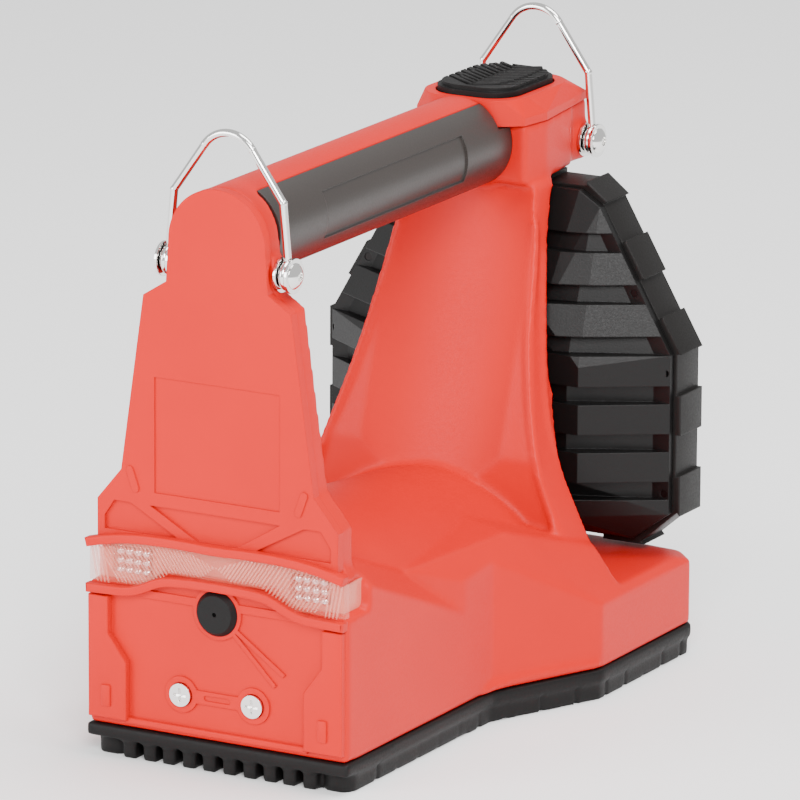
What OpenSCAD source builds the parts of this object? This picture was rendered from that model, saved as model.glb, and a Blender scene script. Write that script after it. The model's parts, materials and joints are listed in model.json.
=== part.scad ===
// Rechargeable fire-service lantern: a moulded clamshell with a carrying
// handle, a swivelling lamp head, a tail light and two wire carrying rings.
// Millimetres. +Z up, the beam shines towards -Y, the charging face is +Y.
// The origin is at the middle of the footprint, on the floor.

/* [Base] */
// Width of the base at the charging face
base_w = 108; // [96:1:130]
// Length from the charging face to the front of the foot
base_len = 236; // [225:1:285]
// Width of the front foot
foot_w = 152; // [142:1:184]
// Distance from the charging face to the start of the flare
waist_d = 106; // [88:1:128]
// Distance from the charging face to the end of the flare
flare_d = 153; // [130:1:184]
// Height of the base side at its rear corner
side_h = 69; // [66:1:80]
// Height of the deck of the front foot
foot_h = 25; // [22:1:30]
// Height of the domed ridge at the rear tower
ridge_h = 82; // [78:1:90]
// Drop of the side's top edge, degrees
side_slope = 21; // [16:1:24]
// Wall thickness of the housing
wall = 3; // [2.5:0.1:4]
// Height of the rubber boot under the base
boot_h = 12; // [10:0.5:16]

/* [Rear tower] */
// Depth of the rear tower
tower_t = 14; // [12:1:18]
// Thickness of the plate on the rear tower
plate_t = 4; // [3:0.5:5]
// Height of the neck's arch
neck_h = 205; // [200:1:230]
// Width of the neck
neck_w = 40; // [38:1:48]
// Height of the shoulders under the neck
shoulder_h = 163; // [150:1:165]
// Width at the shoulders
shoulder_w = 61; // [54:1:74]
// Width at the foot of the plate's trapezoid
plate_w = 80; // [72:1:96]

/* [Handle] */
// Diameter of the handle
grip_d = 36; // [32:1:42]
// Height of the handle's axis
grip_h = 187; // [184:1:205]
// Thickness of the rubber grip inserts
grip_t = 3; // [2:0.5:4]
// Length of the recessed panel on each grip
grip_panel_l = 104; // [60:1:120]

/* [Front tower] */
// Distance from the charging face to the tower's rear corners
tower_d = 168; // [160:1:200]
// Depth of the tower's side walls
lip_t = 16; // [12:1:20]
// Height of the underside of the hood
hood_z = 171; // [166:1:200]
// Height of the top of the tower
tower_h = 200; // [196:1:225]
// Width of the hood
hood_w = 50; // [46:1:60]
// Width of the hood's nose between the rings
nose_w = 40; // [36:1:46]

/* [Switch] */
// Width of the rubber switch boot
switch_w = 34; // [28:1:38]
// Length of the rubber switch boot
switch_l = 46; // [38:1:54]
// Distance from the charging face to the switch's centre
switch_d = 206; // [200:1:250]
// Travel of the switch
switch_travel = 2; // [1:0.1:3]

/* [Head] */
// Width of the bezel
head_w = 152; // [130:1:164]
// Height of the bezel's underside
head_z0 = 31; // [29:0.5:36]
// Depth of the bezel
bezel_t = 18; // [14:1:24]
// Distance from the charging face to the bezel's rear edge
bezel_d = 214; // [206:1:262]
// Depth of the ribbed shell behind the bezel
shell_t = 22; // [18:1:24]
// Number of cooling ribs on the shell
rib_count = 6; // [4:1:7]
// Swivel of the head to each side, degrees
swivel = 15; // [6:1:15]
// Diameter of the swivel pins
pin_d = 6; // [5:0.5:7]

/* [Tail light] */
// Height of the lens at its lower edge
lens_z0 = 55; // [50:1:60]
// Height of the lens band
lens_h = 15; // [10:1:18]
// Length of the lens round each corner
lens_wrap = 16; // [10:1:24]

/* [Carrying rings] */
// Wire diameter
wire_d = 3; // [2.5:0.1:4]
// Distance between the wire's two eyes
eye_span = 49; // [46:1:56]
// Height of the rear eyes
rear_eye_h = 175; // [168:1:182]
// Height of the front eyes
front_eye_h = 179; // [175:1:186]
// Height of a ring above its eyes
ring_h = 49; // [40:1:60]
// Diameter of a ring's screw head
ring_head_d = 9.6; // [8:0.1:10.5]

/* [Charging face] */
// Distance between the charging contacts
contact_gap = 30; // [24:1:40]
// Height of the charging contacts
contact_h = 16; // [14:1:20]
// Diameter of a contact's head
contact_d = 8.6; // [7:0.1:10]
// Diameter of the rubber plug
plug_d = 17; // [15:0.5:19]
// Height of the plug's centre
plug_h = 48.5; // [46:0.5:50]

/* [Fits] */
// Gap between parts that do not move
seat = 0.15; // [0.1:0.05:0.4]
// Radial running clearance of pins
run = 0.06; // [0.03:0.01:0.1]
// Gap between moving surfaces
free = 0.5; // [0.3:0.1:1]

/* [Hidden] */
$fn = 64;
hull_fn = 32;
eps = 0.01;
big = 400;
relief = 0.8;                                // height of the charging panel's raised frames
proud = 2;                                   // reach of the plug past the charging face
nose_tip = 6.5;                              // hood in front of the ring's screws
nose_d = 238;                                // front ring's axis from the charging face
hood_len = nose_d + nose_tip;
rear_y = (hood_len - proud) / 2;
cap_seam = tower_h - 6;                      // seam under the switch cap
platform_margin = 4;
top_z = tower_h + 4;                         // top of the raised oval platform
swivel_d = bezel_d - 2;                      // upright swivel axis
head_top = hood_z - 2;
head_h = head_top - head_z0;
sweep_gap = 1.2;                             // room round the swinging shell
shell_lip = 3;                               // step in from the bezel to the shell
shell_lip_t = 3;                             // depth of the shell's full-width front
split_gap = 0.05;                            // hairline parting gap
ridge_slope = 5.7;
tower_lean = atan(0.33);
knee_z = 74;                                 // where the tower starts to lean
hood_back = 187;                             // rear of the block under the cap
rear_eye_d = 8.5;                            // rear ring's axis from the charging face
eye_hole_d = 5.2;                            // bore of a wire eye
eye_d = eye_hole_d + 2 * wire_d;
ring_pin_d = eye_hole_d - 2 * run;           // shoulder of a ring's screw
ring_thread_d = 4;
insert_d = 6.4;
insert_l = 8;
washer_t = 1;
washer_d = eye_d + 1.6;
ring_head_t = 2.6;                           // thickness of a ring's screw head
eye_in = eye_span / 2 - wire_d / 2;          // inner face of an eye
boss_x = eye_in - 0.3 - washer_t;            // side face of a ring's boss
head_x = eye_span / 2 + wire_d / 2 + 0.3;    // underside of a ring's outer washer
deck_z = foot_h + 3;                         // deck under the head
screw_d = 3;
screw_head_d = 5.6;
screw_head_t = 2;
panel_half = base_w / 2 - 5;                 // half width of the charging panel
cap_back = switch_d - switch_l / 2 - platform_margin;
pad_z = cap_seam - 1;                        // underside of the switch pad's flange
lens_wall = 3;
bush_d = 10;
pivot_boss_d = 16;
pivot_reach = 9;                             // length of a swivel pin in the head
plug_stem_d = 12;
plug_stem_l = 9;
contact_shank_d = 4;
emitter_x = 27;
emitter_z = 25;
cup_r = 23;

// Colours
orange = [0.95, 0.28, 0.18];
black = [0.08, 0.08, 0.08];
rubber = [0.12, 0.11, 0.11];
steel = [0.75, 0.76, 0.78];
clear = [0.9, 0.92, 0.95, 0.5];
copper = [0.8, 0.55, 0.3];
board_green = [0.1, 0.35, 0.2];
silver = [0.85, 0.85, 0.85];
cell_blue = [0.2, 0.3, 0.5];

// ---- helpers ----
// Moves from the foot of the charging face to the part's own frame
module place() translate([0, rear_y, boot_h]) children();
// Completes an outline's right half with its mirror image
function both(p) = concat(p, [for (i = [len(p) - 1:-1:0]) [-p[i][0], p[i][1]]]);
// Extrudes an X-Z outline forwards from depth d0 to depth d1
module front_view(d0, d1) translate([0, -d0, 0]) rotate([90, 0, 0]) linear_extrude(d1 - d0) children();
// Extrudes a Y-Z outline across the width w
module side_view(w) translate([-w / 2, 0, 0]) rotate([90, 0, 90]) linear_extrude(w) children();
module pair(x) for (s = [-1, 1]) translate([s * x, 0, 0]) children();
// Rod along X, centred
module x_rod(d, l) rotate([0, 90, 0]) cylinder(d = d, h = l, center = true);
// Rod forwards from the origin
module y_rod(d, l) rotate([90, 0, 0]) cylinder(d = d, h = l);
// Tube standing on the origin
module tube(d, hole, h) difference() {
    cylinder(d = d, h = h);
    translate([0, 0, -1]) cylinder(d = hole, h = h + 2);
}
// Rectangle with round ends
module slot_2d(w, h) {
    square([w - h, h], center = true);
    pair((w - h) / 2) circle(d = h);
}
// Rectangle with round corners, made of exact shapes
module rounded_2d(w, h, r) {
    square([w - 2 * r, h], center = true);
    square([w, h - 2 * r], center = true);
    for (x = [-1, 1], y = [-1, 1]) translate([x * (w / 2 - r), y * (h / 2 - r)]) circle(r);
}

// ---- outlines ----
// Footprint of the base
module base_plan(grow = 0) {
    corner = 12;
    polygon(both([
        [base_w / 2 + grow, grow], [base_w / 2 + 1 + grow, -waist_d],
        [foot_w / 2 + grow, -flare_d], [foot_w / 2 + grow, -(base_len - corner)],
        [foot_w / 2 - corner * 0.7 + grow, -(base_len - 3) - grow],
        [foot_w / 4, -base_len - grow]]));
}
// Half width of the front tower at height z
function tower_half(z) = min(62, hood_w / 2 + 1 + 0.16 * (hood_z - z) + 30 * exp(-(z - foot_h) / 26));
// Depth of the tower's rear corners at height z
function tower_back(z) = tower_d - 11 + tan(tower_lean) * max(0, z - knee_z);
module tower_front_2d() polygon(both([for (i = [0:12])
    let (z = foot_h + 2 + i * (hood_z + 2 - foot_h) / 12) [tower_half(z), z]]));
module tower_side_2d() {
    low = foot_h + 2;
    polygon([[-tower_back(low), low], [-tower_back(knee_z), knee_z],
        [-tower_back(hood_z), hood_z], [-tower_back(hood_z) - lip_t, hood_z],
        [-tower_back(knee_z) - lip_t, knee_z], [-tower_back(low) - lip_t, low]]);
}
// Rear tower, seen from behind
module neck_2d(grow = 0) {
    arch = neck_w / 2 + grow;
    flare_z = 85;
    translate([0, neck_h - neck_w / 2]) circle(arch);
    polygon(both([
        [base_w / 2 - 4 + grow, side_h], [base_w / 2 - 4 + grow, side_h + 8],
        [plate_w / 2 + 10 + grow, flare_z], [plate_w / 2 + grow, flare_z + 12],
        [shoulder_w / 2 + grow, shoulder_h], [neck_w / 2 + 1 + grow, shoulder_h + 6],
        [arch, neck_h - neck_w / 2]]));
}
// Bezel, seen from the front
module bezel_2d(grow = 0) {
    flat_half = 35 + grow * 0.5;
    h = head_w / 2 + grow;
    polygon(both([
        [h - 15, head_z0 - grow], [h, head_z0 + 13 - grow * 0.4], [h, head_z0 + head_h * 0.55],
        [flat_half + 9, head_top - 7 + grow * 0.5], [flat_half, head_top + grow]]));
}
// Rear wall of the ribbed shell
module shell_back_2d(grow = 0) polygon(both([
    [38 + grow, head_z0 + 13 - grow], [44 + grow, head_z0 + 26],
    [44 + grow, head_z0 + head_h * 0.52], [28 + grow, head_top - 48 + grow]]));
// Block under the switch cap, seen from above
module hood_2d(grow = 0) polygon(both([
    [hood_w / 2 - 2 + grow, -hood_back - grow], [hood_w / 2 + grow, -hood_back - 14],
    [nose_w / 2 + 2 + grow, -nose_d + 12], [nose_w / 2 + grow, -nose_d + 8],
    [nose_w / 2 + grow, -hood_len + 3 - grow], [nose_w / 2 - 4, -hood_len - grow]]));

// ---- housing ----
module base_solid() {
    chamfer = 9;
    run_out = 24;
    ridge_r = 60;
    fender_z = 57;
    difference() {
        union() {
            // box under the rear tower, with a sloping chamfered roof
            intersection() {
                linear_extrude(side_h + chamfer + 1) base_plan();
                translate([0, 0, side_h]) rotate([side_slope, 0, 0]) translate([0, 20, 0])
                    front_view(0, flare_d + 30) polygon(both([
                        [base_w, -2 * side_h], [base_w, -base_w / 2],
                        [base_w / 2 + run_out, -run_out], [base_w / 2 - chamfer, chamfer]]));
            }
            // domed ridge between the towers
            intersection() {
                translate([0, 0, ridge_h - ridge_r]) rotate([ridge_slope, 0, 0])
                    front_view(1, tower_d + 4) circle(ridge_r, $fn = 128);
                translate([-base_w / 2 + 8, -tower_d - 4, 0]) cube([base_w - 16, tower_d + 3, ridge_h]);
            }
            // flared fenders and front foot
            intersection() {
                linear_extrude(side_h) base_plan();
                hull() {
                    front_view(waist_d - 48, waist_d - 47)
                        polygon(both([[base_w / 2 - 8, 0], [base_w / 2 - 8, fender_z], [20, fender_z + 3]]));
                    front_view(waist_d + 16, waist_d + 17)
                        polygon(both([[base_w / 2 - 2, 0], [base_w / 2 - 2, fender_z], [28, fender_z + 4]]));
                    linear_extrude(foot_h) intersection() {
                        base_plan();
                        translate([-big / 2, -base_len - 1]) square([big, base_len + 1 - flare_d]);
                    }
                    front_view(flare_d, base_len - 30) polygon(both([[40, 0], [40, deck_z]]));
                }
            }
        }
        // flat deck under the head
        translate([-big / 2, -base_len - 10, deck_z])
            cube([big, base_len + 10 - tower_back(0) - lip_t + 2, big]);
    }
}
module tower_solid() {
    scoop_r = 96;
    scoop = 5;
    difference() {
        intersection() {
            front_view(tower_back(0) - 1, hood_len) tower_front_2d();
            side_view(big) tower_side_2d();
        }
        // hollow rear face
        translate([0, scoop_r / cos(tower_lean) - tower_back(knee_z) - scoop, knee_z])
            rotate([tower_lean, 0, 0]) translate([0, 0, -60])
            cylinder(r = scoop_r, h = 200, $fn = 128);
    }
}
module hood_solid() translate([0, 0, hood_z]) linear_extrude(cap_seam - hood_z) hood_2d();
module neck_solid() front_view(plate_t, tower_t) neck_2d(-1.5);
module handle_core() translate([0, -plate_t, grip_h])
    y_rod(grip_d, switch_d - 12 - plate_t);
module head_envelope(grow) hull() {
    front_view(bezel_d, bezel_d + 4) bezel_2d(grow);
    front_view(bezel_d - shell_lip_t - grow, bezel_d) bezel_2d(grow - shell_lip);
    front_view(bezel_d - shell_t - grow, bezel_d - shell_t) shell_back_2d(grow);
}
// Turns about the head's swivel axis
module swing(a) translate([0, -swivel_d, 0]) rotate([0, 0, a]) translate([0, swivel_d, 0]) children();
// Solid body of the clamshell, before it is hollowed
module housing_body() {
    base_solid();
    difference() {
        union() {
            tower_solid();
            hood_solid();
        }
        for (a = [-swivel, 0, swivel]) swing(a) head_envelope(sweep_gap);
        pivot_bosses(sweep_gap);
    }
    neck_solid();
    handle_core();
}

// ---- cavities and seats in the housing ----
bay_w = base_w - 2 * wall - 10;              // battery bay
bay_len = 124;
bay_d = 20;
bay_h = 40;
rail_w = 16;                                 // wire channel in the handle
rail_h = 14;
// Battery bay, handle channel and tower channel
module hollows() {
    // battery bay, open at the bottom
    translate([-bay_w / 2, -bay_d - bay_len, -1]) cube([bay_w, bay_len, bay_h + 1]);
    // room behind the charging face
    translate([-bay_w / 2, -bay_d - 1, 10]) cube([bay_w, bay_d - 5, 40]);
    // channel through the handle
    translate([-rail_w / 2, -hood_back - 20, grip_h - rail_h / 2])
        cube([rail_w, hood_back + 20 - tower_t + 4, rail_h]);
    // channel from the handle down to the battery bay
    translate([-rail_w / 2, -hood_back - 12, grip_h - rail_h / 2 - 4]) cube([rail_w, 16, rail_h]);
}
module housing_cuts() {
    hollows();
    seats();
}

// Tail lens from behind: a band that is higher in its middle
module lens_2d(grow = 0) {
    low = lens_z0 - 1 - grow;
    high = lens_z0 + lens_h + 1.5 + grow;
    reach = base_w / 2 + 2;
    polygon(both([[23, low + 6], [30, low], [reach, low], [reach, high - 5], [base_w / 2 - 5, high - 5],
        [base_w / 2 - 18, high]]));
}
// Space behind the lens's outer face, inset from it, and past its ends
module lens_block(inset, grow, past = 0) intersection() {
    front_view(-1, lens_wrap + past) lens_2d(grow);
    translate([-base_w / 2 + inset, -lens_wrap - past, 0])
        cube([base_w - 2 * inset, lens_wrap + past - inset, big]);
}
led_x = base_w / 2 - 17;
module led_pockets(extra) pair(led_x)
    translate([-9 - extra, -lens_wrap - 3 - extra, lens_z0 + 2 - extra])
    cube([18 + 2 * extra, lens_wrap, lens_h - 4 + 2 * extra]);
// Charging panel and the plate above it
module panel_2d(grow = 0) {
    low = 4 - grow;
    high = lens_z0 - 2 + grow;
    polygon(both([[panel_half + grow, low], [panel_half + grow, high], [30, high], [24, high + 4.5]]));
}
module ring_bosses() {
    for (p = [[rear_eye_d, rear_eye_h], [nose_d, front_eye_h]])
        translate([0, -p[0], p[1]]) x_rod(washer_d, 2 * boss_x);
}
module ring_bores(d) for (p = [[rear_eye_d, rear_eye_h], [nose_d, front_eye_h]])
    translate([0, -p[0], p[1]]) pair(boss_x - insert_l - 2) rotate([0, 90, 0])
        translate([0, 0, -insert_l - 2]) cylinder(d = d, h = 2 * insert_l + 4);
module pivot_bores() translate([0, -swivel_d, 0]) {
    translate([0, 0, hood_z - 1]) cylinder(d = pin_d + 2 * split_gap, h = 12);
    translate([0, 0, deck_z - 14]) cylinder(d = pin_d + 2 * split_gap, h = 15);
}
// Clamshell screws: depth, height, half width of the housing there
clam = [[62, 60, 38], [150, 46, 40], [hood_back + 9, hood_z + 5, hood_w / 2], [9, 140, 32]];
module clam_bores() for (c = clam) translate([0, -c[0], c[1]]) {
    translate([-12, 0, 0]) rotate([0, 90, 0]) cylinder(d = screw_d + 2 * split_gap, h = 60);
    translate([c[2] - 9, 0, 0]) rotate([0, 90, 0]) cylinder(d = screw_head_d + 0.6, h = 60);
}
foot_spots = [[base_w / 2 - 7, 9], [-base_w / 2 + 7, 9], [foot_w / 2 - 9, base_len - 22],
    [-foot_w / 2 + 9, base_len - 22]];
module foot_bores() for (p = foot_spots) translate([p[0], -p[1], -1]) cylinder(d = screw_d + 0.1, h = 16);
module seats() {
    // rear plate and charging panel
    front_view(-1, plate_t + seat) { neck_2d(1); panel_2d(seat); }
    // tail lens, its gasket and the lights
    difference() {
        lens_block(-1, seat);
        lens_block(lens_wall + 1.2, 2, 1);
    }
    led_pockets(0.2);
    // plug's port and the contacts
    translate([0, 0, plug_h]) y_rod(plug_stem_d + 1, plug_stem_l + 4);
    pair(contact_gap / 2) translate([0, 0, contact_h]) y_rod(contact_shank_d + 1, 16);
    // grips
    translate([0, -tower_t, grip_h]) grip_ring(seat);
    ring_bores(insert_d);
    pivot_bores();
    clam_bores();
    foot_bores();
    // switch
    translate([0, -switch_d, cap_seam - 14]) linear_extrude(15) square([20, 26], center = true);
    translate([0, -switch_d, pad_z]) linear_extrude(big)
        rounded_2d(switch_w + 2 * free, switch_l + 2 * free, 12);
    // seat of the cap on the handle's end
    translate([-big / 2, -big - cap_back, cap_seam]) cube([big, big, big]);
}
// Ring sector that a grip fills, both sides; more is the clearance round it
grip_top_angle = 62;
grip_low_angle = -66;
module grip_sector(more) rotate([90, 0, 0]) rotate([0, 0, grip_low_angle - more])
    rotate_extrude(angle = grip_top_angle - grip_low_angle + 2 * more)
    translate([grip_d / 2 - grip_t, 0]) square([grip_t + more * 2, hood_back - tower_t - eps]);
module grip_ring(more) {
    grip_sector(more);
    mirror([1, 0, 0]) grip_sector(more);
}
module housing_solid() difference() {
    union() {
        housing_body();
        ring_bosses();
    }
    housing_cuts();
}
module half(s) intersection() {
    housing_solid();
    translate([s > 0 ? split_gap / 2 : -big - split_gap / 2, -big, -10]) cube([big, 2 * big, big]);
}
module housing_left() color(orange) place() half(1);
module housing_right() color(orange) place() half(-1);

// ---- rear plate, tail light and charging face ----
module brace_windows() {
    top = 85;
    low = lens_z0 + lens_h + 4;
    depth = 1.4;
    front_view(-1, depth) {
        polygon([[28, top], [-26, top], [-8, low], [8, low]]);
        for (s = [-1, 1])
            polygon([[s * 16, low], [s * 36, top], [s * 43, top], [s * 47, top - 6], [s * 47, low]]);
    }
}
module rear_cover() color(orange) place() {
    difference() {
        front_view(0, plate_t) difference() {
            neck_2d();
            lens_2d(seat);
            translate([-base_w, 0]) square([2 * base_w, lens_z0 + 7]);
        }
        brace_windows();
        // shallow label recess
        front_view(-1, 0.6) translate([-26, 90]) square([52, 43]);
        translate([0, -rear_eye_d, rear_eye_h]) x_rod(eye_d + 3, 2 * big);
    }
    // slanted bars
    for (s = [-1, 1]) front_view(-0.6, 0.5) translate([s * 35, 94]) rotate(90 - s * 20) slot_2d(10, 3);
}
// What stands proud of the charging panel
module panel_relief() intersection() {
    panel_2d();
    union() {
        // boss round the port, and the ribs that leave it
        translate([0, plug_h]) circle(d = plug_d + 3);
        for (a = [-45, -55]) translate([0, plug_h]) rotate(a) translate([-0.8, -34]) square([1.6, 24]);
        // dumbbell frame round the contacts
        pair(contact_gap / 2) translate([0, contact_h]) circle(d = contact_d + 5);
        translate([0, contact_h]) square([contact_gap, 5], center = true);
        // ledge under the tail light
        translate([-panel_half, lens_z0 - 5]) square([2 * panel_half, 3]);
    }
}
module charge_panel() color(orange) place() difference() {
    union() {
        front_view(relief, plate_t) panel_2d();
        front_view(0, relief + 0.2) panel_relief();
    }
    front_view(-1, plate_t + 1) translate([0, plug_h]) circle(d = plug_stem_d + 2 * run);
    pair(contact_gap / 2) translate([0, 1, contact_h]) {
        y_rod(contact_shank_d + 0.2, 10);
        y_rod(contact_d + 0.4, 1 + relief);
    }
    front_view(-1, 0.6) translate([0, contact_h]) slot_2d(11, 2);
}
module tail_lens() color(clear) place() difference() {
    lens_block(0, -seat);
    lens_block(lens_wall, 2, 1);
}
module tail_gasket() color(rubber) place() difference() {
    lens_block(lens_wall + 0.05, -1);
    lens_block(lens_wall + 1.05, 2, 1);
    led_pockets(-0.5);
}
module tail_leds() color(board_green) place() pair(led_x) {
    translate([-8, -lens_wrap - 2, lens_z0 + 3]) cube([16, 1.6, lens_h - 6]);
    for (x = [-5, 0, 5]) translate([x, -lens_wrap - 0.4, lens_z0 + lens_h / 2]) rotate([-90, 0, 0]) {
        cylinder(d = 3.6, h = 3);
        translate([0, 0, 3]) sphere(d = 3.6);
    }
}
module port_plug() color(rubber) place() translate([0, 0, plug_h]) difference() {
    union() {
        rotate([90, 0, 0]) cylinder(d = plug_stem_d, h = plug_stem_l);
        rotate([-90, 0, 0]) cylinder(d1 = plug_d, d2 = plug_d - 3, h = proud);
    }
    rotate([-90, 0, 0]) translate([0, 0, 0.6]) cylinder(d = 1.6, h = proud);
}
module contact() difference() {
    union() {
        translate([0, 1.2, 0]) y_rod(contact_d, 1.8);
        y_rod(contact_shank_d, 13);
    }
    for (a = [0, 90]) rotate([0, a, 0]) translate([-2.6, 0.2, -0.5]) cube([5.2, 2, 1]);
}
module charge_contacts() color(steel) place() pair(contact_gap / 2) translate([0, 0, contact_h]) contact();
module contact_leaves() color(copper) place() pair(contact_gap / 2) {
    translate([-4, -14, contact_h - 4]) difference() {
        cube([8, 1, 26]);
        translate([4, 2, 4]) y_rod(contact_shank_d + 0.1, 4);
    }
}

// ---- handle ----
module grip() difference() {
    translate([0, -tower_t - 0.3, grip_h]) rotate([90, 0, 0]) rotate([0, 0, grip_low_angle])
        rotate_extrude(angle = grip_top_angle - grip_low_angle)
        translate([grip_d / 2 - grip_t + 0.05, 0]) square([grip_t - 0.05, hood_back - tower_t - 0.6]);
    // recessed panel with plain bars left standing
    translate([0, -(tower_t + hood_back - grip_panel_l) / 2, grip_h]) rotate([90, 0, 0])
        rotate([0, 0, -26]) rotate_extrude(angle = 58)
        translate([grip_d / 2 - 0.7, 0]) square([2, grip_panel_l]);
    // room for the cap's overhang
    translate([0, -big - cap_back + 0.5, cap_seam - 0.5]) cube([big, big, big]);
}
module grip_left() color(rubber) place() grip();
module grip_right() color(rubber) place() mirror([1, 0, 0]) grip();

// ---- base boot ----
tread_pitch = 15;
tread_cut = 1.6;
tread_h = 7;                                 // depth of the treads below the boot's rim
tread_inset = 1.5;
tooth_pitch = 8.4;                           // teeth under the rear edge
tooth_w = 5.6;
tooth_l = 10;
pad_d = 13;                                  // round pad at each foot screw
module boot_edge(inset = 0) difference() {
    base_plan(0.8 - inset);
    translate([0, -bay_d - bay_len / 2]) square([bay_w + 2, bay_len + 2], center = true);
}
// What stands on the floor, seen from above
module tread_2d() {
    for (i = [1:ceil(base_len / tread_pitch)])
        translate([-big / 2, -i * tread_pitch - tread_pitch + tread_cut + 6])
            square([big, tread_pitch - tread_cut]);
    for (i = [-5:4]) translate([(i + 0.5) * tooth_pitch - tooth_w / 2, -tooth_l])
        square([tooth_w, tooth_l]);
    for (p = foot_spots) translate([p[0], -p[1]]) circle(d = pad_d);
}
module base_boot() color(rubber) place() difference() {
    union() {
        translate([0, 0, tread_h - boot_h]) linear_extrude(boot_h - tread_h - eps) boot_edge();
        translate([0, 0, -boot_h]) linear_extrude(tread_h + eps) intersection() {
            boot_edge(tread_inset);
            tread_2d();
        }
    }
    for (p = foot_spots) translate([p[0], -p[1], -boot_h - 1]) {
        cylinder(d = 9, h = 4);
        cylinder(d = screw_d + 0.2, h = boot_h + 2);
    }
}
module screw_down(l) {
    difference() {
        cylinder(d = 8, h = 2.4);
        translate([0, 0, -1]) cylinder(d = 3.4, h = 2.4, $fn = 6);
    }
    cylinder(d = screw_d, h = l);
}
module foot_screws() color(steel) place() for (p = foot_spots)
    translate([p[0], -p[1], -boot_h + 0.5]) screw_down(boot_h + 10);
module base_plate() color(black) place() difference() {
    translate([0, -bay_d - bay_len / 2, -3.2])
        cube([bay_w + 2 - 2 * seat, bay_len + 2 - 2 * seat, 6], center = true);
    translate([0, -bay_d - bay_len / 2, 0]) cube([bay_w - 12, bay_len - 12, 4], center = true);
}

// ---- carrying rings ----
// Tangent point from p to the circle about c, radius r, on p's far side
function tangent(p, c, r) = let (v = p - c, a = atan2(v[1], v[0]) + acos(r / norm(v)))
    c + r * [cos(a), sin(a)];
module rod(p, q, d) let (v = q - p) translate(p) rotate([0, acos(v[2] / norm(v)), atan2(v[1], v[0])])
    cylinder(d = d, h = norm(v));
module ring_wire() {
    arc_r = 12;
    eye_x = eye_span / 2;
    bend = [eye_x - 2, 26];
    centre = [0, ring_h - arc_r];
    touch = tangent(bend, centre, arc_r);
    spread = atan2(touch[1] - centre[1], touch[0]);
    knuckle = wire_d + 0.1;
    for (s = [0, 1]) mirror([s, 0, 0]) {
        translate([eye_x, 0, 0]) rotate([0, 90, 0]) rotate_extrude()
            translate([(eye_hole_d + wire_d) / 2, 0]) circle(d = wire_d);
        rod([eye_x, 0, (eye_hole_d + wire_d) / 2 + 0.2], [bend[0], 0, bend[1]], wire_d - 0.1);
        for (p = [bend, touch]) translate([p[0], 0, p[1]]) sphere(d = knuckle);
        rod([bend[0], 0, bend[1]], [touch[0], 0, touch[1]], wire_d - 0.1);
    }
    translate([0, 0, centre[1]]) rotate([90, 0, 0]) rotate([0, 0, spread])
        rotate_extrude(angle = 180 - 2 * spread) translate([arc_r, 0]) circle(d = wire_d);
}
module d_ring_rear() color(steel) place() translate([0, -rear_eye_d, rear_eye_h]) ring_wire();
module d_ring_front() color(steel) place() translate([0, -nose_d, front_eye_h]) ring_wire();
// Repeats its child at both sides of both rings, the child pointing outwards
module ring_sides() for (p = [[rear_eye_d, rear_eye_h], [nose_d, front_eye_h]], s = [0, 1])
    translate([0, -p[0], p[1]]) mirror([s, 0, 0]) rotate([0, 90, 0]) children();
module ring_screws() color(steel) place() ring_sides() {
    stem = boss_x - insert_l;
    translate([0, 0, stem]) cylinder(d = ring_thread_d, h = insert_l);
    translate([0, 0, boss_x + 0.1]) cylinder(d = ring_pin_d, h = head_x + washer_t - boss_x);
    translate([0, 0, head_x + washer_t]) difference() {
        intersection() {
            cylinder(d = ring_head_d, h = ring_head_t);
            translate([0, 0, -ring_head_d * 0.62 + ring_head_t]) sphere(r = ring_head_d * 0.62);
        }
        translate([0, 0, 1]) cylinder(d = 3.6, h = 5, $fn = 6);
    }
}
module ring_washers() color(steel) place() ring_sides() {
    translate([0, 0, boss_x]) tube(washer_d, ring_pin_d + 2 * run, washer_t);
    translate([0, 0, head_x]) tube(washer_d, ring_pin_d + 2 * run, washer_t);
}
module ring_inserts() color(copper) place() ring_sides()
    translate([0, 0, boss_x - insert_l]) tube(insert_d - 2 * split_gap, ring_thread_d + 0.1, insert_l);

// ---- switch ----
module cap_shape() hull() {
    translate([0, 0, cap_seam + 0.1]) linear_extrude(3) hood_2d();
    translate([0, -switch_d, cap_seam]) linear_extrude(top_z - cap_seam)
        rounded_2d(switch_w + 2 * platform_margin, switch_l + 2 * platform_margin, 14);
}
module switch_cap() color(orange) place() difference() {
    cap_shape();
    translate([0, -switch_d, cap_seam - 1]) linear_extrude(20)
        rounded_2d(switch_w + 2 * free, switch_l + 2 * free, 12);
}
module switch_boot() color(rubber) place() translate([0, -switch_d, 0]) difference() {
    union() {
        translate([0, 0, pad_z + switch_travel + 1]) linear_extrude(top_z + 2 - pad_z - switch_travel - 1)
            rounded_2d(switch_w, switch_l, 12);
        translate([0, 0, top_z + 2 - eps]) linear_extrude(1.4) rounded_2d(switch_w - 3, switch_l - 3, 11);
    }
    // chevron grooves
    for (i = [-4:4], s = [0, 1]) mirror([s, 0, 0]) translate([0, i * 4.6, top_z + 2.8]) rotate(-35)
        translate([1, 0, 0]) cube([switch_w * 0.52, 1.4, 3]);
}
module switch_plunger() color(black) place() translate([0, -switch_d, cap_seam - 6 + switch_travel])
    cylinder(d = 8, h = pad_z + switch_travel + 1 - cap_seam + 6 - switch_travel - 0.02);
module switch_body() color(black) place() translate([0, -switch_d, cap_seam - 10.5]) {
    translate([-8, -10, 0]) cube([16, 20, 4]);
    for (x = [-5, 5]) translate([x - 1, -6, -3]) cube([2, 1, 3.1]);
}

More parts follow.
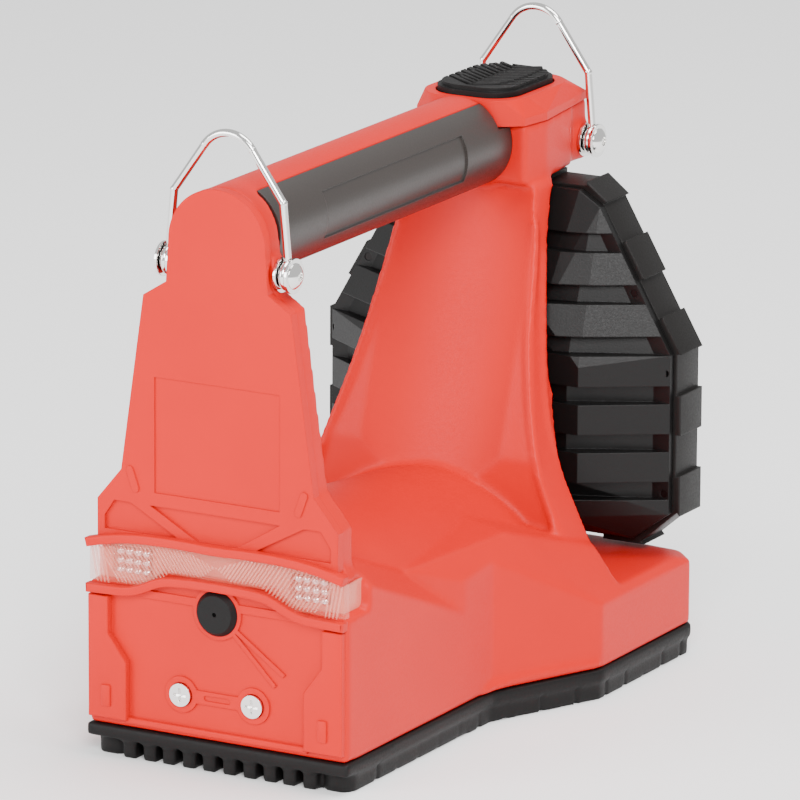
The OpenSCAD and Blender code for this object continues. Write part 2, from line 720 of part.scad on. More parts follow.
// ---- lamp head ----
module rib_slots() {
    pitch = 18.6;
    gap = 7;
    first = head_z0 + 20;
    for (i = [0:rib_count - 1]) translate([-big / 2, -bezel_d + 3, first + i * pitch])
        cube([big, shell_t + 10, gap]);
}
module shell_outer(grow = 0) hull() {
    front_view(bezel_d - shell_lip_t, bezel_d - 0.1) bezel_2d(grow - shell_lip);
    front_view(bezel_d - shell_t - grow * 0.5, bezel_d - shell_t + 1) shell_back_2d(grow);
}
module shell_core() hull() {
    front_view(bezel_d - shell_lip_t, bezel_d - 0.1) bezel_2d(-10);
    front_view(bezel_d - shell_t + 4, bezel_d - shell_t + 5) shell_back_2d(-7);
}
module shell_hollow() hull() {
    front_view(bezel_d - 1, bezel_d + 1) bezel_2d(-13);
    front_view(bezel_d - shell_t + 8, bezel_d - shell_t + 9) shell_back_2d(-12);
}
module pivot_bosses(grow = 0) translate([0, -swivel_d, 0]) {
    translate([0, 0, head_z0 - grow]) cylinder(d = pivot_boss_d + 2 * grow, h = 16 + grow);
    translate([0, 0, head_top - 16]) cylinder(d = pivot_boss_d + 2 * grow, h = 16 + grow);
}
module head_shell() color(black) place() difference() {
    union() {
        difference() {
            shell_outer();
            difference() {
                rib_slots();
                shell_core();
            }
        }
        pivot_bosses();
    }
    shell_hollow();
    translate([0, -swivel_d, 0]) {
        for (z = [head_z0 - 1, head_top - pivot_reach - 1])
            translate([0, 0, z]) cylinder(d = bush_d + 2 * split_gap, h = pivot_reach + 2);
    }
    for (p = bezel_spots) translate([p[0], -bezel_d + screw_grip + 1, p[1]]) y_rod(screw_d + 0.1, 9);
}
block_count = 16;
block_proud = 1.2;
module bezel_blocks_2d() intersection() {
    bezel_2d(block_proud);
    translate([0, head_z0 + head_h / 2]) for (i = [0:block_count - 1]) rotate((i + 0.5) * 360 / block_count)
        polygon([[0, 0], [big, -big * tan(6.5)], [big, big * tan(6.5)]]);
}
module bezel_ring() color(black) place() difference() {
    union() {
        front_view(bezel_d, bezel_d + bezel_t) bezel_2d(-block_proud);
        front_view(bezel_d + 3, bezel_d + bezel_t - 2) intersection() {
            bezel_blocks_2d();
            translate([0, head_z0 + head_h / 2]) square([head_w, head_h], center = true);
        }
    }
    front_view(bezel_d - 1, bezel_d + bezel_t + 1) bezel_2d(-14);
    front_view(bezel_d + 6, bezel_d + bezel_t - 3) bezel_2d(-9);
    pivot_bosses(0.3);
    for (p = bezel_spots) translate([p[0], -bezel_d + 1, p[1]]) {
        y_rod(screw_d + 0.2, bezel_t + 2);
        translate([0, -bezel_t + 2, 0]) y_rod(screw_head_d + 0.4, 4);
    }
}
// Point on the way t from p to q, moved sideways to the left by s
function beside(p, q, t, s) = let (v = (q - p) / norm(q - p)) p + (q - p) * t + s * [-v[1], v[0]];
bezel_inset = 5;
bezel_spots = [for (s = [-1, 1], p = [[head_w / 2 - bezel_inset, head_z0 + 22],
    [head_w / 2 - bezel_inset, head_z0 + head_h * 0.5],
    beside([head_w / 2, head_z0 + head_h * 0.55], [44, head_top - 7], 0.45, bezel_inset)]) [s * p[0], p[1]]];
screw_grip = 2.8;
module bezel_screws() color(steel) place() for (p = bezel_spots) translate([p[0], -bezel_d, p[1]]) {
    translate([0, screw_grip, 0]) y_rod(screw_d, bezel_t - 3 + screw_grip);
    translate([0, -bezel_t + 3 - 0.2, 0]) difference() {
        y_rod(screw_head_d, 2.4);
        translate([0, -1, 0]) y_rod(3, 4, $fn = 6);
    }
}
lens_front = bezel_d + bezel_t - 3.2;        // front face of the clear lens
module front_lens() color(clear) place() front_view(lens_front - 3.2, lens_front) bezel_2d(-9.2);
module lens_gasket() color(rubber) place() front_view(lens_front - 5.2, lens_front - 3.3) difference() {
    bezel_2d(-9.2);
    bezel_2d(-14);
}
// Cup of one lamp: centre at the emitter, opening forwards
lamp_z = head_z0 + head_h * 0.47;            // middle of the four lamps
emitters = [for (x = [-1, 1], z = [-1, 1]) [x * emitter_x, lamp_z + z * emitter_z]];
module reflector() color(silver) place() difference() {
    front_view(bezel_d - 1, bezel_d + bezel_t - 9) bezel_2d(-14.5);
    for (e = emitters) translate([e[0], -bezel_d - bezel_t + 9 - eps, e[1]]) rotate([-90, 0, 0])
        translate([0, 0, -1]) cylinder(r1 = cup_r, r2 = 4, h = bezel_t);
    pivot_bosses(0.5);
}
module led_board() color(board_green) place() front_view(bezel_d - 4, bezel_d - 2.4)
    translate([0, lamp_z]) square([2 * emitter_x + 16, 2 * emitter_z + 16], center = true);
module led_emitters() color([1, 0.95, 0.7]) place() for (e = emitters)
    translate([e[0] - 2.5, -bezel_d - 1, e[1] - 2.5]) cube([5, 3.4 - 0.05, 5]);
module pivot_pins() color(steel) place() translate([0, -swivel_d, 0]) {
    translate([0, 0, head_top - pivot_reach + 0.5]) cylinder(d = pin_d, h = pivot_reach + 11);
    translate([0, 0, deck_z - 13]) cylinder(d = pin_d, h = 13 + head_z0 - deck_z + pivot_reach - 0.5);
}
module pivot_bushes() color(copper) place() translate([0, -swivel_d, 0]) {
    translate([0, 0, head_top - pivot_reach]) tube(bush_d, pin_d + 2 * run, pivot_reach - 0.2);
    translate([0, 0, head_z0 + 0.2]) tube(bush_d, pin_d + 2 * run, pivot_reach);
}
module swivel_washer() color(steel) place() translate([0, -swivel_d, deck_z])
    tube(pivot_boss_d, pin_d + 0.2, head_z0 - deck_z - 0.3);

// ---- inside ----
cell_d = 36;
cell_x = cell_d / 2 + 0.5;
module battery_pack() color(cell_blue) place() pair(cell_x)
    translate([0, -bay_d - 3, cell_d / 2 + 1]) y_rod(cell_d, bay_len - 8);
module battery_terminals() color(copper) place() pair(cell_x)
    translate([-8, -bay_d - 2.9, cell_d / 2 - 6]) cube([16, 1, 14]);
module main_board() color(board_green) place()
    translate([-bay_w / 2 + 4, -bay_d + 0.4, 12]) cube([bay_w - 8, 1.6, 34]);
module housing_screws() color(steel) place() for (c = clam) translate([0, -c[0], c[1]]) {
    translate([-10, 0, 0]) rotate([0, 90, 0]) cylinder(d = screw_d, h = c[2] - 9 + 10);
    translate([c[2] - 9, 0, 0]) rotate([0, 90, 0]) difference() {
        cylinder(d = screw_head_d, h = screw_head_t);
        translate([0, 0, 0.8]) cylinder(d = 2.8, h = 3, $fn = 6);
    }
}

// ---- parts ----
housing_left();
housing_right();
rear_cover();
charge_panel();
tail_lens();
tail_gasket();
tail_leds();
port_plug();
charge_contacts();
contact_leaves();
grip_left();
grip_right();
base_boot();
foot_screws();
base_plate();
d_ring_rear();
d_ring_front();
ring_screws();
ring_washers();
ring_inserts();
switch_cap();
switch_boot();
switch_plunger();
switch_body();
head_shell();
bezel_ring();
front_lens();
lens_gasket();
reflector();
led_board();
led_emitters();
bezel_screws();
pivot_pins();
pivot_bushes();
swivel_washer();
battery_pack();
battery_terminals();
main_board();
housing_screws();
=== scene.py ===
"""Looks of the rescue lantern: its finishes, moulded details, lights and camera.

Every piece is in metres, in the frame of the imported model. The classes below give
their sizes in millimetres: x to the lantern's own left, d from the charging face
forwards, and z up from the underside of the orange housing.
"""

import json
import logging
import math
from dataclasses import dataclass, field
from enum import Enum
from typing import Any, Callable, Iterable, Sequence

import bmesh
import bpy
from mathutils import Matrix, Vector
from mathutils.bvhtree import BVHTree

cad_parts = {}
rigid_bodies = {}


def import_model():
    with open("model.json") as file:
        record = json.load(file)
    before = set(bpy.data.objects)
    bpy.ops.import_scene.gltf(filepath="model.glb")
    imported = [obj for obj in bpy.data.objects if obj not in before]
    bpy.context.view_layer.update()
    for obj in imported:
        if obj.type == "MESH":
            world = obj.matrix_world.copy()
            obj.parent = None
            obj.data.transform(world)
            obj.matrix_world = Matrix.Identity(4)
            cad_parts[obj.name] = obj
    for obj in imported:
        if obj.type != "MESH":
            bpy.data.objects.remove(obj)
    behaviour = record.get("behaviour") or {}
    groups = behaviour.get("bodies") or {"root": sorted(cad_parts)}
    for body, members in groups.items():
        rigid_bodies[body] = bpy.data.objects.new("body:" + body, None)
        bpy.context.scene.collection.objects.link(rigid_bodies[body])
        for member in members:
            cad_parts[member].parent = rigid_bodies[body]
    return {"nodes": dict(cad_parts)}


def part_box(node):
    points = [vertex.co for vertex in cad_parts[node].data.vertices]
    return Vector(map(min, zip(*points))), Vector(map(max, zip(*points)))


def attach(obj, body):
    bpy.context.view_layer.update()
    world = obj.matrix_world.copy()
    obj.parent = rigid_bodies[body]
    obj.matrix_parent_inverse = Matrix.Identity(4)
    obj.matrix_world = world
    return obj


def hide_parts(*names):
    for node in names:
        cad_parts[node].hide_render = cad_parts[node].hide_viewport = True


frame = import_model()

LOG = logging.getLogger("lantern")
MM = 0.001
Point2 = tuple[float, float]
Point3 = tuple[float, float, float]


class Body(Enum):
    """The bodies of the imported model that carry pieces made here."""

    HOUSING = "housing"
    HEAD = "head"
    SWITCH = "switch_pad"


# ---- small tools ----


def linear(code: str, alpha: float = 1.0) -> tuple[float, float, float, float]:
    """Turns an sRGB hex colour to linear light.

    Args:
        code: Six hex digits, with or without a leading mark.
        alpha: Opacity, passed through.

    Returns:
        Linear red, green, blue and alpha.
    """
    text = code.lstrip("#")
    parts = [int(text[i : i + 2], 16) / 255 for i in (0, 2, 4)]
    lin = [c / 12.92 if c <= 0.04045 else ((c + 0.055) / 1.055) ** 2.4 for c in parts]
    return (lin[0], lin[1], lin[2], alpha)


def add_node(
    tree: bpy.types.NodeTree,
    kind: str,
    settings: dict[str, Any] | None = None,
    inputs: dict[str | int, Any] | None = None,
) -> bpy.types.Node:
    """Adds one node with its settings, values and incoming links.

    Args:
        tree: The tree that takes the node.
        kind: The node's type name.
        settings: Attributes of the node.
        inputs: Socket name or index to a value, or to an output socket to link from.

    Returns:
        The new node.
    """
    node = tree.nodes.new(kind)
    for key, value in (settings or {}).items():
        setattr(node, key, value)
    for key, value in (inputs or {}).items():
        socket = node.inputs[key]
        if isinstance(value, bpy.types.NodeSocket):
            tree.links.new(value, socket)
        else:
            socket.default_value = value
    return node


@dataclass(frozen=True)
class Place:
    """Where the charging face and the housing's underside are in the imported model."""

    rear: float
    base: float

    def at(self, x: float, d: float, z: float) -> Vector:
        """Returns the point x across, d forwards and z up, in metres."""
        return Vector((x * MM, self.rear - d * MM, self.base + z * MM))


PLACE = Place(rear=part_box("charge_panel")[1].y, base=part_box("housing_left")[0].z)


def baked(thing: bpy.types.Object) -> bpy.types.Mesh:
    """Returns the evaluated mesh of an object as a plain mesh."""
    bpy.context.view_layer.update()
    graph = bpy.context.evaluated_depsgraph_get()
    return bpy.data.meshes.new_from_object(thing.evaluated_get(graph), depsgraph=graph)


def new_object(name: str, data: Any) -> bpy.types.Object:
    """Returns a new object that holds the data, linked to the scene."""
    thing = bpy.data.objects.new(name, data)
    bpy.context.scene.collection.objects.link(thing)
    return thing


def discard(thing: bpy.types.Object) -> None:
    """Removes a helper object."""
    bpy.data.objects.remove(thing, do_unlink=True)


def tidy_normals(mesh: bpy.types.Mesh) -> None:
    """Merges doubles and points the faces of a closed mesh outwards."""
    bm = bmesh.new()
    bm.from_mesh(mesh)
    bmesh.ops.remove_doubles(bm, verts=bm.verts, dist=1e-6)
    bmesh.ops.recalc_face_normals(bm, faces=bm.faces)
    bm.to_mesh(mesh)
    bm.free()


def plate(loops: Sequence[Sequence[Point2]], d0: float, d1: float, edge: float) -> bpy.types.Mesh:
    """Makes a plate that faces backwards, with bevelled edges.

    Args:
        loops: The outline, and the outlines of its holes, as x and z in mm.
        d0: Depth of its rear face.
        d1: Depth of its front face.
        edge: Width of the bevel.

    Returns:
        The closed mesh, in place.
    """
    curve = bpy.data.curves.new("plate", "CURVE")
    curve.dimensions = "2D"
    curve.fill_mode = "BOTH"
    curve.extrude = (d1 - d0) / 2 - edge
    curve.bevel_depth = edge
    curve.bevel_resolution = 2
    curve.offset = -edge
    for loop in loops:
        spline = curve.splines.new("POLY")
        spline.points.add(len(loop) - 1)
        spline.use_cyclic_u = True
        for point, (x, z) in zip(spline.points, loop):
            point.co = (x, z, 0, 1)
    thing = new_object("plate", curve)
    mesh = baked(thing)
    discard(thing)
    middle = (d0 + d1) / 2
    for vertex in mesh.vertices:
        x, z, out = vertex.co
        vertex.co = PLACE.at(x, middle - out, z)
    tidy_normals(mesh)
    return mesh


def ribbon(path: Sequence[Point2], width: float) -> list[Point2]:
    """Returns the outline of a band of that width along a path."""
    points = [Vector(p) for p in path]
    left, right = [], []
    for i, point in enumerate(points):
        before = points[max(i - 1, 0)]
        after = points[min(i + 1, len(points) - 1)]
        along = (after - before).normalized()
        side = Vector((-along.y, along.x)) * width / 2
        left.append(tuple(point + side))
        right.append(tuple(point - side))
    return left + right[::-1]


def smooth_path(path: Sequence[Point2], times: int = 2) -> list[Point2]:
    """Rounds the corners of an open path by cutting them."""
    points = [Vector(p) for p in path]
    for _ in range(times):
        cut = [points[0]]
        for a, b in zip(points, points[1:]):
            cut += [a.lerp(b, 0.25), a.lerp(b, 0.75)]
        points = cut + [points[-1]]
    return [tuple(p) for p in points]


def mirrored(loop: Sequence[Point2]) -> list[Point2]:
    """Returns the outline's mirror image, wound the same way."""
    return [(-x, z) for x, z in reversed(loop)]


def circle(x: float, z: float, radius: float, sides: int = 48) -> list[Point2]:
    """Returns a round outline."""
    turn = 2 * math.pi / sides
    return [(x + radius * math.cos(i * turn), z + radius * math.sin(i * turn)) for i in range(sides)]


def finished(
    name: str, mesh: bpy.types.Mesh, finish: "Finish", body: Body, smooth_angle: float = 30
) -> bpy.types.Object:
    """Makes a finished piece of a mesh that is already in place.

    Args:
        name: The piece's name.
        mesh: Its mesh, in the model's frame.
        finish: Its finish.
        body: The body that it rides on.
        smooth_angle: Edges sharper than this, in degrees, stay crisp.

    Returns:
        The piece.
    """
    mesh.materials.clear()
    mesh.materials.append(finish.material())
    mesh.shade_smooth()
    mesh.set_sharp_from_angle(angle=math.radians(smooth_angle))
    thing = new_object(name, mesh)
    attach(thing, body.value)
    LOG.info("%s: %d faces on %s", name, len(mesh.polygons), body.value)
    return thing


def joined(meshes: Iterable[bpy.types.Mesh]) -> bpy.types.Mesh:
    """Returns one mesh that holds all of them."""
    bm = bmesh.new()
    for mesh in meshes:
        bm.from_mesh(mesh)
    whole = bpy.data.meshes.new("joined")
    bm.to_mesh(whole)
    bm.free()
    return whole


# ---- geometry node trees ----


class SpotTree:
    """A tree that sets one shape on each point of a mesh, turned and sized by attributes."""

    TURN = "turn"
    SIZE = "size"

    def __init__(self, name: str) -> None:
        """Builds the tree.

        Args:
            name: The name of the node group.
        """
        tree = bpy.data.node_groups.new(name, "GeometryNodeTree")
        face = tree.interface
        face.new_socket("Geometry", in_out="INPUT", socket_type="NodeSocketGeometry")
        shape = face.new_socket("Shape", in_out="INPUT", socket_type="NodeSocketObject")
        scale = face.new_socket("Overall Size", in_out="INPUT", socket_type="NodeSocketFloat")
        finish = face.new_socket("Finish", in_out="INPUT", socket_type="NodeSocketMaterial")
        face.new_socket("Geometry", in_out="OUTPUT", socket_type="NodeSocketGeometry")
        self.ids = {"shape": shape.identifier, "scale": scale.identifier, "finish": finish.identifier}
        start = tree.nodes.new("NodeGroupInput")
        turn = add_node(
            tree, "GeometryNodeInputNamedAttribute", {"data_type": "FLOAT_VECTOR"}, {"Name": self.TURN}
        )
        size = add_node(
            tree, "GeometryNodeInputNamedAttribute", {"data_type": "FLOAT_VECTOR"}, {"Name": self.SIZE}
        )
        info = add_node(tree, "GeometryNodeObjectInfo", None, {"Object": start.outputs["Shape"]})
        rotation = add_node(tree, "FunctionNodeEulerToRotation", None, {0: turn.outputs["Attribute"]})
        sized = add_node(
            tree,
            "ShaderNodeVectorMath",
            {"operation": "SCALE"},
            {0: size.outputs["Attribute"], "Scale": start.outputs["Overall Size"]},
        )
        spots = add_node(
            tree,
            "GeometryNodeInstanceOnPoints",
            None,
            {
                "Points": start.outputs["Geometry"],
                "Instance": info.outputs["Geometry"],
                "Rotation": rotation.outputs[0],
                "Scale": sized.outputs[0],
            },
        )
        real = add_node(
            tree, "GeometryNodeRealizeInstances", None, {"Geometry": spots.outputs["Instances"]}
        )
        dressed = add_node(
            tree,
            "GeometryNodeSetMaterial",
            None,
            {"Geometry": real.outputs["Geometry"], "Material": start.outputs["Finish"]},
        )
        add_node(tree, "NodeGroupOutput", None, {"Geometry": dressed.outputs["Geometry"]})
        self.tree = tree

    def grow(
        self,
        shape: bpy.types.Mesh,
        spots: Sequence[tuple[Vector, Point3, Point3]],
        finish: "Finish",
    ) -> bpy.types.Mesh:
        """Sets the shape on each spot and returns the result as a plain mesh.

        Args:
            shape: The shape, about its own origin.
            spots: For each copy its place, its turn in radians and its size factors.
            finish: The finish of the copies.

        Returns:
            The plain mesh of all the copies.
        """
        mould = new_object("mould", shape)
        points = bpy.data.meshes.new("spots")
        points.from_pydata([tuple(s[0]) for s in spots], [], [])
        for name, column in ((self.TURN, 1), (self.SIZE, 2)):
            layer = points.attributes.new(name, "FLOAT_VECTOR", "POINT")
            layer.data.foreach_set("vector", [c for s in spots for c in s[column]])
        holder = new_object("spots", points)
        modifier = holder.modifiers.new("set", "NODES")
        modifier.node_group = self.tree
        modifier[self.ids["shape"]] = mould
        modifier[self.ids["scale"]] = 1.0
        modifier[self.ids["finish"]] = finish.material()
        mesh = baked(holder)
        holder.modifiers.clear()
        discard(holder)
        discard(mould)
        return mesh


def block(w: float, d: float, h: float, edge: float, taper: float = 0.0) -> bpy.types.Mesh:
    """Makes a block about its origin with rounded edges.

    Args:
        w: Width along x, mm.
        d: Depth along y, mm.
        h: Height along z, mm.
        edge: Radius of its edges, mm.
        taper: How much its top is drawn in on each side, mm.

    Returns:
        The closed mesh, in metres.
    """
    bm = bmesh.new()
    bmesh.ops.create_cube(bm, size=1.0)
    for vertex in bm.verts:
        inset = taper if vertex.co.z > 0 else 0.0
        vertex.co.x *= (w - 2 * inset) * MM
        vertex.co.y *= (d - 2 * inset) * MM
        vertex.co.z *= h * MM
    bmesh.ops.bevel(
        bm, geom=list(bm.edges), offset=edge * MM, segments=2, profile=0.5, affect="EDGES"
    )
    mesh = bpy.data.meshes.new("block")
    bm.to_mesh(mesh)
    bm.free()
    return mesh


def turned(profile: Sequence[Point2], sides: int = 32) -> bpy.types.Mesh:
    """Spins a profile of radius and height, in mm, about +Z.

    Args:
        profile: Its points from the axis outwards and round to the axis again.
        sides: Number of sides.

    Returns:
        The closed mesh, in metres.
    """
    bm = bmesh.new()
    verts = [bm.verts.new((r * MM, 0, h * MM)) for r, h in profile]
    edges = [bm.edges.new(pair) for pair in zip(verts, verts[1:])]
    bmesh.ops.spin(
        bm, geom=verts + edges, axis=(0, 0, 1), cent=(0, 0, 0), angle=2 * math.pi, steps=sides
    )
    bmesh.ops.remove_doubles(bm, verts=bm.verts, dist=1e-6)
    bmesh.ops.recalc_face_normals(bm, faces=bm.faces)
    mesh = bpy.data.meshes.new("turned")
    bm.to_mesh(mesh)
    bm.free()
    return mesh


# ---- finishes ----


@dataclass(frozen=True)
class Finish:
    """A material: what it is made of and how its surface was made."""

    name: str
    slot: str
    colour: str
    deep: str
    roughness: float
    metallic: float = 0.0
    ior: float = 1.5
    specular: float = 0.5
    coat: float = 0.0
    opacity: float = 1.0
    grain_mm: float = 0.7
    grain_depth_mm: float = 0.02
    tone_mm: float = 40.0
    tone_share: float = 0.25
    edge_mm: float = 0.5
    gloss_spread: float = 0.06
    stretch: Point3 = (1.0, 1.0, 1.0)

    def material(self) -> bpy.types.Material:
        """Returns the material, built once."""
        made = bpy.data.materials.get(self.name)
        return made or self.build()

    def build(self) -> bpy.types.Material:
        """Builds the node tree: soft edges, surface grain, and slow changes of tone and gloss.

        Returns:
            The new material.
        """
        made = bpy.data.materials.new(self.name)
        made.use_nodes = True
        tree = made.node_tree
        tree.nodes.clear()
        where = add_node(tree, "ShaderNodeTexCoord").outputs["Object"]
        stretched = add_node(
            tree, "ShaderNodeMapping", None, {"Vector": where, "Scale": self.stretch}
        ).outputs[0]
        grain = add_node(
            tree,
            "ShaderNodeTexNoise",
            None,
            {"Vector": stretched, "Scale": 1 / (self.grain_mm * MM), "Detail": 2.0},
        )
        tone = add_node(
            tree,
            "ShaderNodeTexNoise",
            None,
            {"Vector": where, "Scale": 1 / (self.tone_mm * MM), "Detail": 3.0},
        )
        share = add_node(
            tree,
            "ShaderNodeMapRange",
            None,
            {"Value": tone.outputs["Fac"], "From Min": 0.3, "From Max": 0.7, "To Max": self.tone_share},
        )
        colour = add_node(
            tree,
            "ShaderNodeMix",
            {"data_type": "RGBA"},
            {"Factor": share.outputs[0], 6: linear(self.colour), 7: linear(self.deep)},
        )
        gloss = add_node(
            tree,
            "ShaderNodeMapRange",
            None,
            {
                "Value": grain.outputs["Fac"],
                "From Min": 0.3,
                "From Max": 0.7,
                "To Min": max(0.02, self.roughness - self.gloss_spread),
                "To Max": self.roughness + self.gloss_spread,
            },
        )
        soft = add_node(
            tree, "ShaderNodeBevel", {"samples": 4}, {"Radius": self.edge_mm * MM}
        ).outputs[0]
        bump = add_node(
            tree,
            "ShaderNodeBump",
            None,
            {
                "Height": grain.outputs["Fac"],
                "Distance": self.grain_depth_mm * MM,
                "Strength": 1.0,
                "Normal": soft,
            },
        )
        shader = add_node(
            tree,
            "ShaderNodeBsdfPrincipled",
            None,
            {
                "Base Color": colour.outputs[2],
                "Roughness": gloss.outputs[0],
                "Metallic": self.metallic,
                "Specular IOR Level": self.specular,
                "Coat Weight": self.coat,
                "Alpha": self.opacity,
                "Normal": bump.outputs[0],
            },
        )
        if not self.metallic:
            shader.inputs["IOR"].default_value = self.ior
        add_node(tree, "ShaderNodeOutputMaterial", None, {"Surface": shader.outputs[0]})
        return made


# Moulded high-impact ABS in safety orange: even colour, satin, with a fine spark-eroded texture
ABS = Finish(
    "Moulded_ABS_safety_orange", "orange_abs", "#CC0C04", "#C20A03", 0.45,
    specular=0.2, tone_share=0.5,
)
# Glass-filled nylon: black, half gloss, with a slightly coarser skin
NYLON = Finish(
    "Moulded_nylon_black", "black_nylon", "#0B0A0A", "#100E0D", 0.42,
    specular=0.22, ior=1.53, grain_depth_mm=0.03,
)
# The same nylon from a smoother mould: the bezel's flat blocks look greyer and flatter
NYLON_BEZEL = Finish(
    "Moulded_nylon_bezel", "black_nylon", "#110F0E", "#161413", 0.5, specular=0.2, ior=1.53, edge_mm=0.8
)
# Thermoplastic elastomer grip: satin charcoal with broad soft highlights
RUBBER_GRIP = Finish(
    "Elastomer_charcoal", "black_rubber", "#2C2623", "#241F1D", 0.36, ior=1.52, grain_depth_mm=0.03
)
# Moulded EPDM rubber: matt black with a dry surface
RUBBER = Finish(
    "EPDM_rubber_black", "black_rubber", "#0D0B0B", "#0A0909", 0.55,
    specular=0.2, ior=1.52, grain_depth_mm=0.04,
)
# Chromed spring steel: sharp bright reflections, almost no texture
CHROME = Finish(
    "Chromed_steel", "chromed_steel", "#E9E8E6", "#D9D8D6", 0.08, metallic=1.0,
    grain_depth_mm=0.002, gloss_spread=0.03, edge_mm=0.2,
)
# Zinc-plated steel screws: duller, slightly mottled
ZINC = Finish(
    "Zinc_plated_steel", "zinc_steel", "#A9A9A6", "#8C8C8A", 0.3, metallic=1.0, edge_mm=0.2
)
# Black-oxide steel: dark, with a faint metal sheen, for the screws of the black head
BLACK_STEEL = Finish(
    "Black_oxide_steel", "zinc_steel", "#2A2828", "#201F1F", 0.4, metallic=1.0, edge_mm=0.2
)
# Machined brass
BRASS = Finish("Machined_brass", "brass", "#C9A45A", "#B18F4C", 0.28, metallic=1.0, edge_mm=0.2)
# Clear moulded polycarbonate of the front lens: nearly unseen but for its highlights
POLYCARBONATE = Finish(
    "Clear_polycarbonate", "clear_polycarbonate", "#F4F6F8", "#EEF1F4", 0.05, ior=1.585,
    opacity=0.16, coat=0.6, edge_mm=0.3, grain_mm=1.4,
)
# Tail lens of the same polycarbonate, close in front of orange plastic that shines through it
TAIL_CLEAR = Finish(
    "Clear_polycarbonate_tail", "clear_polycarbonate", "#FF8A72", "#FF7A60", 0.08, ior=1.585,
    opacity=0.2, coat=0.6, edge_mm=0.3, grain_mm=1.4,
)
# The flutes of the tail lens: the same warm tint, a little denser, so that they read as lines
FLUTE = Finish(
    "Clear_polycarbonate_flutes", "clear_polycarbonate", "#FFA490", "#FF947E", 0.12, ior=1.585,
    opacity=0.28, coat=0.4, edge_mm=0.1,
)
# Clear silicone seal behind the tail lens: tinted like the orange that shows through it
SILICONE = Finish(
    "Clear_silicone", "clear_silicone", "#FF9A86", "#FF8B76", 0.3, ior=1.41, opacity=0.5
)
# Epoxy circuit board with solder mask
BOARD = Finish("Epoxy_circuit_board", "circuit_board", "#1E4A2C", "#163A22", 0.3)
# Aluminised lamp cups: mirror bright
MIRROR = Finish(
    "Aluminised_reflector", "metallised_reflector", "#E8E8E8", "#DDDDDD", 0.06, metallic=1.0,
    grain_depth_mm=0.002,
)
# Phosphor cover of a white light-emitting diode: matt yellow
PHOSPHOR = Finish("Diode_phosphor", "led_phosphor", "#F2DF86", "#E6CF6C", 0.5)
# Shrink film over the cells
FILM = Finish("Cell_shrink_film", "cell_wrap", "#1D3F74", "#19365F", 0.35, ior=1.55)


def dress(finish: Finish, *nodes: str) -> None:
    """Gives carried-over nodes a finish.

    Args:
        finish: The finish.
        nodes: Names of nodes.
    """
    for name in nodes:
        thing = frame["nodes"][name]
        if not thing.material_slots:
            thing.data.materials.append(None)
        for slot in thing.material_slots:
            slot.link = "OBJECT"
            slot.material = finish.material()
        LOG.info("%s: %s", name, finish.name)


def softened(
    parts: Sequence[bpy.types.Mesh], voxel: float, passes: int, keep: float = 1.0
) -> bpy.types.Mesh:
    """Fuses closed meshes to one skin with the small radii of a moulding.

    Args:
        parts: The meshes, each closed.
        voxel: Size of the grid that it is rebuilt on, mm.
        passes: Smoothing passes, which set the radius of the edges.
        keep: Share of the faces that is kept.

    Returns:
        The fused mesh.
    """
    mesh = joined(parts)
    bm = bmesh.new()
    bm.from_mesh(mesh)
    bmesh.ops.remove_doubles(bm, verts=bm.verts, dist=1e-6)
    bm.to_mesh(mesh)
    bm.free()
    thing = new_object("soft", mesh)
    remesh = thing.modifiers.new("voxels", "REMESH")
    remesh.mode = "VOXEL"
    remesh.voxel_size = voxel * MM
    smooth = thing.modifiers.new("fillets", "SMOOTH")
    smooth.factor = 0.5
    smooth.iterations = passes
    if keep < 1.0:
        fewer = thing.modifiers.new("fewer", "DECIMATE")
        fewer.ratio = keep
    skin = baked(thing)
    discard(thing)
    return skin


def bead(path: Sequence[Point3], radius: float, skin: BVHTree) -> bpy.types.Mesh:
    """Makes a closed round bead that lies on a surface along a path.

    Args:
        path: Its points as x, d and z in mm.
        radius: Its radius in mm.
        skin: The surface, to which every point is moved.

    Returns:
        The closed mesh, in place.
    """
    near = [skin.find_nearest(PLACE.at(*point))[0] for point in path]
    curve = bpy.data.curves.new("bead", "CURVE")
    curve.dimensions = "3D"
    curve.bevel_depth = radius * MM
    curve.bevel_resolution = 3
    curve.use_fill_caps = True
    curve.resolution_u = 8
    spline = curve.splines.new("NURBS")
    spline.points.add(len(path) - 1)
    spline.use_endpoint_u = True
    spline.order_u = 3
    for point, spot in zip(spline.points, near):
        point.co = (*spot, 1)
    thing = new_object("bead", curve)
    mesh = baked(thing)
    discard(thing)
    tidy_normals(mesh)
    return mesh


# ---- sub-assemblies ----


